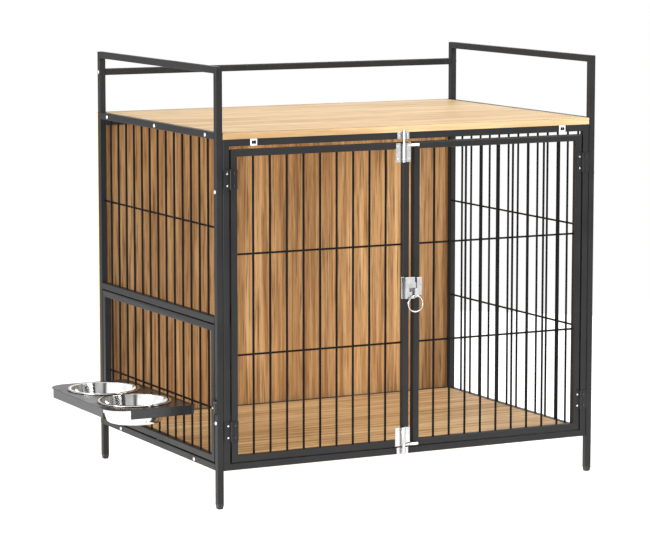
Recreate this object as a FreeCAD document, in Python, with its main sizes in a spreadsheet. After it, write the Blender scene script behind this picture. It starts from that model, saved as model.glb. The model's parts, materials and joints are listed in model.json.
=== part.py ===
"""Dog crate end table: square-tube frame, wooden boards, bar grilles, double doors, swivel feeder.

Lengths are millimetres. +Z is up, +Y runs from the doors to the back, +X to the right as one
faces the doors. Formulas are written about the middle of the crate's footprint, on the floor.
Every finished piece is then moved by SHIFT_X and SHIFT_Y, so that the origin is the middle of
the whole object's footprint, with the feeder's tray turned outwards.
"""
import FreeCAD
import Part
import math
import os
import re
import Sketcher
from FreeCAD import Placement, Rotation, Vector

X = Vector(1, 0, 0)
Y = Vector(0, 1, 0)
Z = Vector(0, 0, 1)

# ---------------------------------------------------------------- driving dimensions
SIZES = {
    # Frame of square tube
    "width": 950,
    "depth": 656,
    "tube": 15,
    "tube_wall": 1.2,
    "tube_corner": 1.2,
    "lower_rail_z": 84,
    "middle_rail_z": 406,
    "table_height": 819,
    "guard_height": 141,
    "back_rail_drop": 39.5,
    "frame_gap": 0.5,
    # Feet
    "foot_height": 12,
    "foot_tip": 11,
    "foot_plug": 10,
    "plug_gap": 0.15,
    # Boards
    "board_thickness": 15,
    "board_gap": 0.5,
    "board_edge": 0.8,
    "panel_thickness": 10,
    # Bars of the grilles
    "rod": 5,
    "wire": 4.5,
    "weld_gap": 0.05,
    "side_rods": 13,
    "door_rods": 9,
    "door_low_wire": 218.5,
    "door_high_wire": 212.5,
    "feeder_wire": 99,
    # Doors
    "door_side_gap": 4,
    "door_centre_gap": 11,
    "door_bottom_gap": 1.5,
    "door_top_gap": 7.5,
    # Hinges
    "hinge_height": 44,
    "hinge_leaf": 13.5,
    "hinge_sheet": 1.6,
    "hinge_barrel": 6,
    "hinge_pin": 3,
    "hinge_front": 3,
    "hinge_gap": 0.3,
    "pin_fit": 0.04,
    "low_hinge_rise": 47.5,
    "high_hinge_drop": 41.5,
    # Swivelling feeder panel
    "feeder_side_gap": 3.5,
    "feeder_bottom_gap": 3,
    "feeder_top_gap": 2,
    "pivot_pin": 8,
    "pivot_reach": 12,
    "pivot_collar": 14,
    "seat_gap": 0.3,
    # Feeder tray
    "tray_depth": 200,
    "tray_length": 384,
    "tray_shift": 8,
    "tray_top_z": 211,
    "tray_sheet": 1.5,
    "tray_skirt": 21,
    "tray_corner": 47,
    "skirt_setback": 5.5,
    # Bowls
    "bowl_spacing": 176,
    "bowl_radius": 74,
    "bowl_base": 63,
    "bowl_depth": 45,
    "bowl_corner": 9,
    "bowl_sheet": 1,
    "bowl_rim": 82.5,
    "bowl_rim_height": 3,
    "bowl_bead": 1.2,
    "bowl_gap": 0.8,
    # Turn button that holds the feeder panel
    "button_length": 33,
    "button_width": 13,
    "button_height": 8,
    "button_corner": 4.5,
    "button_facet": 1.3,
    "button_edge": 2,
    "button_pin": 5,
    "button_z": 224.5,
    # Bolts through the sides, and screws of the back panel
    "bolt_neck": 5,
    "bolt_length": 12,
    "bolt_head": 3,
    "bolt_head_width": 10,
    "bolt_head_top": 7,
    "bolt_gap": 0.05,
    "table_bolt_pitch": 271,
    "floor_bolt_pitch": 410,
    "low_post_bolt_z": 190,
    "high_post_bolt_drop": 127,
    "screw_head": 2,
    "screw_head_width": 8,
    "screw_inset": 60,
    # Barrel bolts of the left door
    "bolt_rod": 6.5,
    "bolt_rod_x": 21.5,
    "bolt_stand": 5.4,
    "bolt_fit": 0.08,
    "barrel": 9.6,
    "fitting_sheet": 1.2,
    "housing_width": 37,
    "housing_height": 42,
    "housing_inset": 1.5,
    "keeper_width": 29,
    "rod_reach": 30,
    "rod_tail": 7,
    "rod_nose": 1.2,
    "handle_inset": 4.2,
    "handle_neck": 4,
    "handle_neck_length": 19.5,
    "handle_knob": 7.6,
    "handle_knob_length": 17,
    "handle_knob_edge": 1.2,
    "bolt_travel": 25,
    "slot_gap": 0.6,
    # Spring latch with its pull ring
    "latch_z": 434,
    "latch_height": 48,
    "latch_width": 30.5,
    "latch_clear": 1,
    "latch_flange": 6,
    "latch_depth": 10,
    "tongue_height": 20,
    "tongue_thickness": 4,
    "tongue_back": 3,
    "tongue_length": 20,
    "tongue_grip": 4.5,
    "tongue_low": 16,
    "tongue_travel": 9,
    "stem_width": 6,
    "stem_height": 7,
    "lug_clear": 3.5,
    "lug_front": 18,
    "lug_thickness": 6,
    "eye_rise": 7,
    "eye_wall": 1.2,
    "eye": 4.6,
    "ring_radius": 18,
    "ring_wire": 3,
    "keeper_inset": 4,
    "keeper_length": 12.5,
    "keeper_height": 40,
    "keeper_depth": 9,
    "keeper_rise": 7,
    "keeper_gap": 0.4,
    # Clips on the front top rail
    "clip_x": 387,
    "clip_width": 16,
    "clip_depth": 2.5,
    "clip_slot": 3.5,
    "clip_slot_height": 6,
    "clip_web": 3,
    # How far a cutting tool runs past what it cuts
    "overrun": 1,
}

# Round pieces that repeat are drawn with flat sides, this many of them.
BAR_SIDES = 12
PIN_SIDES = 8
BARREL_SIDES = 16
RING_SIDES = 24
BOWL_SIDES = 40

# The share of a hinge's height that each of its outer knuckles fills.
END_KNUCKLE = 0.3

# How near two places have to be to count as one, and two directions to count as parallel.
NEAR = 0.01
PARALLEL = 0.999

# A circle's centre, in the numbering of a sketch's points.
CENTRE = 3

# Half of how much further the object reaches to the left than to the right, and to the front
# than to the back.
SHIFT_X = "(tray_depth + rod / 2 + weld_gap - tube / 2 - bolt_head) / 2"
SHIFT_Y = "(lug_front - panel_thickness - screw_head) / 2"

# ---------------------------------------------------------------- places worked out from them
FRONT = "(-depth / 2)"
POST_X = "(width / 2 - tube / 2)"
POST_Y = "(depth / 2 - tube / 2)"
INSIDE_X = "(width / 2 - tube)"
INSIDE_Y = "(depth / 2 - tube)"
RAIL_TOP_Z = "(lower_rail_z + tube)"
BOARD_Z = "(table_height - board_thickness)"
GUARD_TOP_Z = "(table_height + guard_height)"
BACK_RAIL_Z = f"({GUARD_TOP_Z} - back_rail_drop - tube / 2)"
HIGH_BOLT_Z = "(table_height - high_post_bolt_drop)"
STILE_X = "(width / 2 - tube - frame_gap)"
DOOR_X = "(width / 2 - 2 * tube - frame_gap - door_side_gap)"
DOOR_WIDTH = f"({DOOR_X} - door_centre_gap / 2)"
DOOR_Z = f"({RAIL_TOP_Z} + door_bottom_gap)"
DOOR_TOP_Z = f"({BOARD_Z} - tube - door_top_gap)"
DOOR_HEIGHT = f"({DOOR_TOP_Z} - {DOOR_Z})"
HINGE_X = f"({DOOR_X} + door_side_gap / 2)"
HINGE_Y = f"({FRONT} - hinge_front)"
LOW_HINGE_Z = f"({DOOR_Z} + low_hinge_rise)"
HIGH_HINGE_Z = f"({DOOR_TOP_Z} - high_hinge_drop - hinge_height)"
FEEDER_Y = f"({INSIDE_Y} - feeder_side_gap)"
FEEDER_Z = f"({RAIL_TOP_Z} + feeder_bottom_gap)"
FEEDER_HEIGHT = f"(middle_rail_z - feeder_top_gap - {FEEDER_Z})"
SIDE_PITCH = f"(2 * {INSIDE_Y} / (side_rods + 1))"
TRAY_X = f"(-{POST_X} - rod / 2 - weld_gap)"
BOWL_X = f"({TRAY_X} - tray_depth / 2)"
BARREL_SLOT = "(handle_neck / 2 + slot_gap)"
BOLT_Y = f"({FRONT} - bolt_stand)"
LATCH_RIGHT = "(door_centre_gap / 2 - latch_clear)"
KEEPER_LEFT = "(door_centre_gap / 2 + keeper_inset)"
TONGUE_TIP = f"({KEEPER_LEFT} + tongue_grip)"
TONGUE_Y = f"({FRONT} - tongue_back - tongue_thickness)"
TONGUE_Z = "(latch_z + tongue_low)"
LUG_X = f"({KEEPER_LEFT} - lug_clear - lug_thickness / 2)"
EYE_Y = f"({FRONT} - lug_front + eye / 2 + eye_wall)"
EYE_Z = "(latch_z + eye_rise)"

doc = FreeCAD.newDocument("dog_crate_end_table")
sheet = doc.addObject("Spreadsheet::Sheet", "Sizes")
nodes = {}


def fill_sheet():
    """Write each driving dimension into the sheet, with its name as the cell's alias."""
    for row, (alias, value) in enumerate(SIZES.items(), start=1):
        sheet.set(f"A{row}", alias)
        sheet.set(f"B{row}", str(value))
        sheet.setAlias(f"B{row}", alias)
    doc.recompute()


# ---------------------------------------------------------------- binding and placing
def bound(formula):
    """Turn the dimension names in a formula into references to the sheet."""
    def refer(match):
        word = match.group()
        return f"Sizes.{word}" if word in SIZES else word
    return re.sub(r"[A-Za-z_]\w*", refer, str(formula))


def bind(piece, **formulas):
    for name, formula in formulas.items():
        piece.setExpression(name, bound(formula))


def place(piece, x="0", y="0", z="0", turn=Rotation()):
    """Bind a piece's position, in the crate's own frame."""
    piece.Placement = Placement(Vector(), turn)
    for axis, formula in zip("xyz", (x, y, z)):
        piece.setExpression(f"Placement.Base.{axis}", bound(formula))
    return piece


def finish(piece, x="0", y="0", z="0", turn=Rotation()):
    """Place a finished piece, moved with the origin, and keep it as a node under its Label."""
    place(piece, f"{x} + {SHIFT_X}", f"{y} + {SHIFT_Y}", z, turn)
    nodes[piece.Label] = piece
    return piece


def facing(run, out):
    """The turn that points a tube's length along run and its long, outer face along out."""
    inward = out * -1
    return Rotation(inward.cross(run), inward, run, "ZYX")


# ---------------------------------------------------------------- sketches and features
def new_body(label):
    return doc.addObject("PartDesign::Body", label)


def origin_feature(body, role):
    """One of the body's own origin planes or axes."""
    return next(feature for feature in body.Origin.OriginFeatures if feature.Role == role)


def sketch(body, role):
    """A sketch on one of the body's own origin planes."""
    plane = origin_feature(body, role)
    drawing = body.newObject("Sketcher::SketchObject", f"{body.Label}_sketch")
    drawing.AttachmentSupport = [(plane, "")]
    drawing.MapMode = "FlatFace"
    return drawing


def fix_point(drawing, geometry, corner, x, y):
    """Hold a point at x and y from the sketch's origin."""
    for kind, formula, axis in (("DistanceX", x, -2), ("DistanceY", y, -1)):
        if str(formula) == "0":
            drawing.addConstraint(Sketcher.Constraint("PointOnObject", geometry, corner, axis))
            continue
        rule = Sketcher.Constraint(kind, -1, 1, geometry, corner, 1.0)
        number = drawing.addConstraint(rule)
        drawing.setExpression(f"Constraints[{number}]", bound(formula))


def outline(drawing, points):
    """A closed outline of straight lines through points given as formulas."""
    count = len(points)
    start = [Vector(math.cos(2 * math.pi * i / count), math.sin(2 * math.pi * i / count), 0)
             for i in range(count)]
    lines = [drawing.addGeometry(Part.LineSegment(start[i], start[(i + 1) % count]), False)
             for i in range(count)]
    for i, line in enumerate(lines):
        follower = lines[(i + 1) % count]
        drawing.addConstraint(Sketcher.Constraint("Coincident", line, 2, follower, 1))
        fix_point(drawing, line, 1, *points[i])


def rectangle(drawing, x0, y0, x1, y1):
    outline(drawing, [(x0, y0), (x1, y0), (x1, y1), (x0, y1)])


def square(drawing, side):
    rectangle(drawing, f"-({side}) / 2", f"-({side}) / 2", f"({side}) / 2", f"({side}) / 2")


def circle(drawing, x, y, radius):
    ring = drawing.addGeometry(Part.Circle(Vector(), Z, 1.0), False)
    number = drawing.addConstraint(Sketcher.Constraint("Radius", ring, 1.0))
    drawing.setExpression(f"Constraints[{number}]", bound(radius))
    fix_point(drawing, ring, CENTRE, x, y)


def pad(body, drawing, length, reverse=False, middle=False):
    feature = body.newObject("PartDesign::Pad", f"{body.Label}_pad")
    feature.Profile = drawing
    feature.Reversed = reverse
    feature.SideType = "Symmetric" if middle else "One side"
    bind(feature, Length=length)
    return feature


def pocket(body, drawing, reverse=False, middle=False):
    """Cut a sketch through everything on one side of its plane, or on both."""
    feature = body.newObject("PartDesign::Pocket", f"{body.Label}_pocket")
    feature.Profile = drawing
    feature.Type = "ThroughAll"
    feature.SideType = "Symmetric" if middle else "One side"
    feature.Reversed = reverse
    return feature


def dress(body, kind, size, chosen):
    """Round or chamfer the chosen edges of the body as it stands."""
    doc.recompute()
    base = body.Tip
    names = [f"Edge{i}" for i, edge in enumerate(base.Shape.Edges, start=1) if chosen(edge)]
    feature = body.newObject(f"PartDesign::{kind}", f"{body.Label}_{kind.lower()}")
    feature.Base = (base, names)
    bind(feature, **{"Radius" if kind == "Fillet" else "Size": size})
    return feature


def runs_along(edge, axis):
    """True for a straight edge that lies along the axis."""
    ends = edge.Vertexes
    if len(ends) < 2 or not isinstance(edge.Curve, (Part.Line, Part.LineSegment)):
        return False
    return abs((ends[1].Point - ends[0].Point).normalize().dot(axis)) > PARALLEL


# ---------------------------------------------------------------- plain solids and booleans
def box(name, x0, y0, z0, x1, y1, z1):
    """A block between two corners given as formulas."""
    block = doc.addObject("Part::Box", name)
    bind(block, Length=f"{x1} - ({x0})", Width=f"{y1} - ({y0})", Height=f"{z1} - ({z0})")
    return place(block, x0, y0, z0)


def cylinder(name, radius, height, x="0", y="0", z="0", turn=Rotation()):
    drum = doc.addObject("Part::Cylinder", name)
    bind(drum, Radius=radius, Height=height)
    return place(drum, x, y, z, turn)


def prism(name, sides, radius, height, x="0", y="0", z="0", turn=Rotation()):
    """A many-sided bar whose corners lie on a circle of the given radius."""
    bar = doc.addObject("Part::Prism", name)
    bar.Polygon = sides
    bind(bar, Circumradius=radius, Height=height)
    return place(bar, x, y, z, turn)


def around(radius, sides):
    """The corner radius of a prism whose flats are the given distance from its axis."""
    return f"({radius}) / cos(180 deg / {sides})"


def turned(name, sides, stations, x="0", y="0", z="0", turn=Rotation()):
    """A many-sided turned solid: flat walls between rings, each a radius at a height."""
    rings = []
    for i, (radius, height) in enumerate(stations):
        ring = doc.addObject("Part::RegularPolygon", f"{name}_ring{i}")
        ring.Polygon = sides
        bind(ring, Circumradius=radius)
        rings.append(place(ring, z=height))
    doc.recompute()
    corners = [[vertex.Point for vertex in ring.Shape.OrderedVertexes] for ring in rings]
    walls = [[low[i - 1], low[i], high[i], high[i - 1]]
             for low, high in zip(corners, corners[1:]) for i in range(sides)]
    ends = [corners[0][::-1], corners[-1]]
    faces = [Part.Face(Part.makePolygon(points + points[:1])) for points in walls + ends]
    piece = doc.addObject("Part::Feature", name)
    piece.Shape = Part.Solid(Part.Shell(faces))
    return place(piece, x, y, z, turn)


def fuse(name, *pieces):
    union = doc.addObject("Part::MultiFuse", name)
    union.Shapes = list(pieces)
    return union


def cut(name, base, *tools):
    result = doc.addObject("Part::Cut", name)
    result.Base = base
    result.Tool = tools[0] if len(tools) == 1 else fuse(f"{name}_tools", *tools)
    return result


def copies(label, places):
    """A node of separate solids: each master at each of its places and turns."""
    group = doc.addObject("Part::Compound", label)
    links = []
    for i, (master, x, y, z, turn) in enumerate(places, start=1):
        link = doc.addObject("App::Link", f"{label}_{i}")
        link.LinkedObject = master
        link.LinkTransform = True
        links.append(place(link, x, y, z, turn))
    group.Links = links
    return group


# ---------------------------------------------------------------- square tubes
def tube(label, length, mitred=0, bolt_holes=(), bolt_side=1, pivot_hole=""):
    """A length of square tube along its body's Z, its long outer face towards -Y.

    mitred counts the ends cut at 45 degrees: 1 is the far end, 2 is both. bolt_holes are places
    along the tube, where one wall has a square hole for a bolt's neck, towards +X or -X as
    bolt_side says. pivot_hole is a place where the outer wall is drilled for a pivot pin.
    """
    body = new_body(label)
    profile = sketch(body, "XY_Plane")
    square(profile, "tube")
    square(profile, "tube - 2 * tube_wall")
    pad(body, profile, length)
    half = "tube / 2"
    dress(body, "Chamfer", "tube_corner", lambda edge: runs_along(edge, Z) and is_outer(edge))
    if mitred:
        corners = [[(f"-{half}", length), (half, length), (half, f"{length} - tube")]]
        if mitred == 2:
            corners.append([(f"-{half}", "0"), (half, "0"), (half, "tube")])
        waste = sketch(body, "YZ_Plane")
        for corner in corners:
            outline(waste, corner)
        pocket(body, waste, middle=True)
    if bolt_holes:
        holes = sketch(body, "YZ_Plane")
        side = "(bolt_neck / 2 + bolt_gap)"
        for spot in bolt_holes:
            rectangle(holes, f"-{side}", f"{spot} - {side}", side, f"{spot} + {side}")
        pocket(body, holes, reverse=bolt_side > 0)
    if pivot_hole:
        hole = sketch(body, "XZ_Plane")
        circle(hole, "0", pivot_hole, "pivot_pin / 2 + pin_fit")
        pocket(body, hole, reverse=True)
    return body


def is_outer(edge):
    """True for an edge at a tube's outer corner, half a tube from the axis both ways."""
    corner = edge.Vertexes[0].Point
    return abs(max(abs(corner.x), abs(corner.y)) - SIZES["tube"] / 2) < NEAR


def tube_frame(label, width, height, across, low_x, low_y, low_z, pivoted=False):
    """A welded rectangle of four mitred tubes, kept as four solids that meet at the mitres.

    across is the direction of the rails. The rectangle starts at low_x, low_y and low_z, and its
    tubes' axes lie in one plane.
    """
    stile = tube(f"{label}_stile", height, mitred=2)
    rail = tube(f"{label}_rail", width, mitred=2, pivot_hole=f"{width} / 2" if pivoted else "")
    half = "tube / 2"
    along_x = "1" if across is X else "0"
    along_y = "1" if across is Y else "0"

    def spot(reach):
        return f"{low_x} + {along_x} * ({reach})", f"{low_y} + {along_y} * ({reach})"
    near = spot(half)
    far = spot(f"{width} - {half}")
    start = spot("0")
    return copies(label, [
        (stile, near[0], near[1], low_z, facing(Z, across * -1)),
        (stile, far[0], far[1], low_z, facing(Z, across)),
        (rail, start[0], start[1], f"{low_z} + {half}", facing(across, Z * -1)),
        (rail, start[0], start[1], f"{low_z} + {height} - {half}", facing(across, Z)),
    ])


def make_posts():
    """Four corner posts, mitred at the top where the guard rails meet them."""
    height = f"({GUARD_TOP_Z} - foot_height)"
    low = "(low_post_bolt_z - foot_height)"
    high = f"({HIGH_BOLT_Z} - foot_height)"
    button = "(button_z - foot_height)"
    back = f"({BACK_RAIL_Z} - foot_height)"
    for end, out, y in (("front", Y * -1, f"-{POST_Y}"), ("rear", Y, POST_Y)):
        for side, sign in (("left", -1), ("right", 1)):
            spots = [low, high] if end == "front" else [back]
            if (end, side) == ("front", "left"):
                spots.append(button)
            turn = facing(Z, out)
            outwards = sign * round(turn.multVec(X).x)
            post = tube(f"post_{end}_{side}", height, 1, spots, outwards)
            finish(post, f"{sign} * {POST_X}", y, "foot_height", turn)


def make_side_rails():
    """Rails that run from front to back in the two side frames."""
    span = f"(2 * {INSIDE_Y})"
    table = [f"{INSIDE_Y} - table_bolt_pitch", INSIDE_Y, f"{INSIDE_Y} + table_bolt_pitch"]
    floor = [f"{INSIDE_Y} - floor_bolt_pitch / 2", f"{INSIDE_Y} + floor_bolt_pitch / 2"]
    for side, sign in (("left", -1), ("right", 1)):
        x = f"{sign} * {POST_X}"
        turn = facing(Y, Z)
        guard = tube(f"{side}_guard_rail", "depth", 2)
        finish(guard, x, FRONT, f"{GUARD_TOP_Z} - tube / 2", turn)
        rail = tube(f"{side}_table_rail", span, 0, table, sign)
        finish(rail, x, f"-{INSIDE_Y}", "table_height - tube / 2", turn)
        rail = tube(f"{side}_lower_rail", span, 0, floor, sign)
        finish(rail, x, f"-{INSIDE_Y}", "lower_rail_z + tube / 2", turn)
    rail = tube("left_middle_rail", span)
    finish(rail, f"-{POST_X}", f"-{INSIDE_Y}", "middle_rail_z + tube / 2", facing(Y, Z))


def make_cross_rails():
    """Rails that run from left to right at the back."""
    heights = {
        "back_guard_rail": BACK_RAIL_Z,
        "rear_table_rail": f"{BOARD_Z} - tube / 2",
        "rear_lower_rail": "lower_rail_z + tube / 2",
    }
    for label, z in heights.items():
        rail = tube(label, f"(2 * {INSIDE_X})")
        finish(rail, f"-{INSIDE_X}", POST_Y, z, facing(X, Z))


def make_front_frame():
    """The door frame, bolted between the front posts under the table board."""
    height = f"({BOARD_Z} - lower_rail_z)"
    frame = tube_frame("front_frame", f"(2 * {STILE_X})", height, X,
                       f"-{STILE_X}", f"-{POST_Y}", "lower_rail_z")
    finish(frame)


def make_feet():
    """Tapered plastic feet with plugs that push into the posts."""
    foot = new_body("foot")
    tread = sketch(foot, "XY_Plane")
    square(tread, "tube")
    taper = pad(foot, tread, "foot_height", reverse=True)
    bind(taper, TaperAngle="-atan((tube - foot_tip) / 2 / foot_height)")
    plug = sketch(foot, "XY_Plane")
    square(plug, "tube - 2 * tube_wall - 2 * plug_gap")
    pad(foot, plug, "foot_plug")
    spots = [(foot, f"{sx} * {POST_X}", f"{sy} * {POST_Y}", "foot_height", Rotation())
             for sx in (-1, 1) for sy in (-1, 1)]
    finish(copies("feet", spots))


# ---------------------------------------------------------------- boards
def board(label, width, depth, thickness):
    """A board lying on its body's XY plane, its upper edges slightly broken."""
    body = new_body(label)
    face = sketch(body, "XY_Plane")
    rectangle(face, f"-{width} / 2", f"-{depth} / 2", f"{width} / 2", f"{depth} / 2")
    pad(body, face, thickness)
    doc.recompute()
    top = body.Shape.BoundBox.ZMax
    dress(body, "Chamfer", "board_edge", lambda edge: edge.BoundBox.ZMin > top - NEAR)
    return body


def make_boards():
    """The table top, the floor and the back panel."""
    width = f"(2 * {INSIDE_X} - 2 * board_gap)"
    top = board("top_board", width, "(depth - board_gap)", "board_thickness")
    finish(top, "0", "-board_gap / 2", BOARD_Z)
    floor_depth = f"(2 * {INSIDE_Y} - 2 * board_gap)"
    finish(board("floor_board", width, floor_depth, "board_thickness"), z="lower_rail_z")
    height = "(table_height - lower_rail_z)"
    panel = board("back_panel", "width", height, "panel_thickness")
    upright = Rotation(X, -90)
    finish(panel, "0", "depth / 2", f"lower_rail_z + {height} / 2", upright)


# ---------------------------------------------------------------- bar grilles
def grille(label, count, pitch, length, wires, wire_length):
    """Upright rods in the body's XZ plane, with cross wires welded behind them, towards +Y.

    The rods start at Z 0, the middle one at X 0. wires are the heights of the cross wires.
    """
    body = new_body(label)
    body.AllowCompound = True
    rod = bar(body, "rod", "rod / 2", length, f"-{pitch} * ({count} - 1) / 2")
    doc.recompute()
    row = body.newObject("PartDesign::LinearPattern", f"{label}_rods")
    row.Originals = [rod]
    row.Direction = (origin_feature(body, "X_Axis"), [""])
    bind(row, Length=f"{pitch} * ({count} - 1)", Occurrences=count)
    body.Tip = row
    behind = "rod / 2 + wire / 2 + weld_gap"
    for height in wires:
        bar(body, "wire", "wire / 2", wire_length, f"-{wire_length} / 2", behind, height,
            Rotation(Y, 90))
    return body


def bar(body, name, radius, length, x="0", y="0", z="0", turn=Rotation()):
    """Add a straight bar to a body."""
    feature = body.newObject("PartDesign::AdditivePrism", f"{body.Label}_{name}")
    feature.Polygon = BAR_SIDES
    bind(feature, Circumradius=radius, Height=length)
    return place(feature, x, y, z, turn)


def make_grilles():
    """The grilles of the two sides and of the two doors."""
    span = f"(2 * {INSIDE_Y})"
    upper_z = "(middle_rail_z + tube)"
    upper = f"(table_height - tube - {upper_z})"
    left = grille("left_upper_grille", "side_rods", SIDE_PITCH, upper, [f"{upper} / 2"], span)
    finish(left, f"-{POST_X}", "0", upper_z, Rotation(Z, -90))
    tall = f"(table_height - tube - {RAIL_TOP_Z})"
    right = grille("right_grille", "side_rods", SIDE_PITCH, tall,
                   [f"{tall} / 3", f"2 * {tall} / 3"], span)
    finish(right, POST_X, "0", RAIL_TOP_Z, Rotation(Z, 90))
    opening = f"({DOOR_WIDTH} - 2 * tube)"
    pitch = f"({opening} / (door_rods + 1))"
    inside_height = f"({DOOR_HEIGHT} - 2 * tube)"
    wires = ["door_low_wire", f"{inside_height} - door_high_wire"]
    middle = f"({DOOR_WIDTH} / 2 + door_centre_gap / 2)"
    for side, sign in (("left", -1), ("right", 1)):
        bars = grille(f"{side}_door_grille", "door_rods", pitch, inside_height, wires, opening)
        finish(bars, f"{sign} * {middle}", f"-{POST_Y}", f"{DOOR_Z} + tube")


# ---------------------------------------------------------------- doors and their hinges
def make_door_frames():
    for side, start in (("left", f"-{DOOR_X}"), ("right", "door_centre_gap / 2")):
        frame = tube_frame(f"{side}_door_frame", DOOR_WIDTH, DOOR_HEIGHT, X,
                           start, f"-{POST_Y}", DOOR_Z)
        finish(frame)


def hinge_leaf(label, side, knuckles):
    """One leaf about the pin's axis: a plate on the given side, with its rolled knuckles.

    The plate lies against the tubes, hinge_front behind the axis. Each knuckle is the lowest and
    highest share of the hinge's height that it fills.
    """
    clear = "(hinge_barrel / 2 + hinge_gap)"
    back = "hinge_front"
    reach = f"({clear} + hinge_leaf)"
    x0, x1 = (clear, reach) if side > 0 else (f"-{reach}", f"-{clear}")
    pieces = [box(f"{label}_plate", x0, f"{back} - hinge_sheet", "0", x1, back, "hinge_height")]
    for i, (low, high) in enumerate(knuckles):
        z0 = f"hinge_height * {low}" if low == 0 else f"hinge_height * {low} + hinge_gap / 2"
        z1 = f"hinge_height * {high}" if high == 1 else f"hinge_height * {high} - hinge_gap / 2"
        roll = prism(f"{label}_roll{i}", BAR_SIDES, "hinge_barrel / 2", f"{z1} - ({z0})", z=z0)
        tab0, tab1 = ("0", clear) if side > 0 else (f"-{clear}", "0")
        tab = box(f"{label}_tab{i}", tab0, f"{back} - hinge_sheet", z0, tab1, back, z1)
        pieces += [roll, tab]
    bore = prism(f"{label}_bore", PIN_SIDES, around("hinge_pin / 2 + pin_fit", PIN_SIDES),
                 "hinge_height")
    return cut(label, fuse(f"{label}_solid", *pieces), bore)


def make_hinges():
    """Four butt hinges: two knuckles on the frame, one on the door, and a pin through them."""
    ends = ((0, END_KNUCKLE), (1 - END_KNUCKLE, 1))
    middle = ((END_KNUCKLE, 1 - END_KNUCKLE),)
    frame_leaves = {-1: hinge_leaf("left_frame_leaf", -1, ends),
                    1: hinge_leaf("right_frame_leaf", 1, ends)}
    door_leaves = {-1: hinge_leaf("left_door_leaf", 1, middle),
                   1: hinge_leaf("right_door_leaf", -1, middle)}
    pin = prism("hinge_pin_master", PIN_SIDES, "hinge_pin / 2", "hinge_height")

    def spots(master, sign):
        return [(master, f"{sign} * {HINGE_X}", HINGE_Y, z, Rotation())
                for z in (LOW_HINGE_Z, HIGH_HINGE_Z)]
    finish(copies("frame_hinge_leaves",
                  spots(frame_leaves[-1], -1) + spots(frame_leaves[1], 1)))
    finish(copies("hinge_pins", spots(pin, -1) + spots(pin, 1)))
    finish(copies("left_door_hinge_leaves", spots(door_leaves[-1], -1)))
    finish(copies("right_door_hinge_leaves", spots(door_leaves[1], 1)))


# ---------------------------------------------------------------- feeder
def make_feeder_panel():
    """The lower left panel, which turns about two upright pins to bring the bowls inside."""
    frame = tube_frame("feeder_panel_frame", f"(2 * {FEEDER_Y})", FEEDER_HEIGHT, Y,
                       f"-{POST_X}", f"-{FEEDER_Y}", FEEDER_Z, pivoted=True)
    finish(frame)
    bars = grille("feeder_panel_grille", "side_rods", SIDE_PITCH,
                  f"({FEEDER_HEIGHT} - 2 * tube)", ["feeder_wire"],
                  f"(2 * {FEEDER_Y} - 2 * tube)")
    finish(bars, f"-{POST_X}", "0", f"{FEEDER_Z} + tube", Rotation(Z, -90))


def pivot_pin(label, collar):
    """A round pin that stands on its collar, drawn from the collar's foot upwards."""
    foot = prism(f"{label}_collar", BAR_SIDES, "pivot_collar / 2", collar)
    pin = cylinder(f"{label}_pin", "pivot_pin / 2", f"{collar} + pivot_reach")
    return fuse(label, foot, pin)


def make_pivot_pins():
    """Pins welded to the lower and middle rails, running in the feeder panel's frame."""
    lower = pivot_pin("lower_pivot", "(feeder_bottom_gap - seat_gap)")
    upper = pivot_pin("upper_pivot", "(feeder_top_gap - seat_gap)")
    finish(copies("feeder_pivot_pins", [
        (lower, f"-{POST_X}", "0", RAIL_TOP_Z, Rotation()),
        (upper, f"-{POST_X}", "0", "middle_rail_z", Rotation(X, 180)),
    ]))


def make_tray():
    """Sheet-metal tray: two bowl holes, rounded outer corners, skirts on the straight edges.

    Drawn with its inner edge at X 0 and its upper face at Z 0, reaching towards -X. The skirts
    stop short of the inner corners, where the sheet is notched for its bends.
    """
    tray = new_body("feeder_tray")
    half = "tray_length / 2"
    plate = sketch(tray, "XY_Plane")
    rectangle(plate, "-tray_depth", f"-{half}", "0", half)
    for sign in (-1, 1):
        circle(plate, "-tray_depth / 2", f"{sign} * bowl_spacing / 2", "bowl_radius + bowl_gap")
    pad(tray, plate, "tray_sheet", reverse=True)
    doc.recompute()
    edge_x = tray.Shape.BoundBox.XMin
    dress(tray, "Fillet", "tray_corner",
          lambda edge: runs_along(edge, Z) and edge.BoundBox.XMax < edge_x + NEAR)
    long_skirts = sketch(tray, "XY_Plane")
    straight = "(tray_length / 2 - tray_corner)"
    notched = "(tray_length / 2 - skirt_setback)"
    rectangle(long_skirts, "-tray_depth", f"-{straight}", "tray_sheet - tray_depth", straight)
    rectangle(long_skirts, "-tray_sheet", f"-{notched}", "0", notched)
    pad(tray, long_skirts, "tray_skirt", reverse=True)
    end_skirts = sketch(tray, "XY_Plane")
    for sign in (-1, 1):
        rectangle(end_skirts, "tray_corner - tray_depth", f"{sign} * ({half} - tray_sheet)",
                  "-skirt_setback", f"{sign} * {half}")
    pad(tray, end_skirts, "tray_skirt", reverse=True)
    finish(tray, TRAY_X, "-tray_shift", "tray_top_z")


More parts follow.
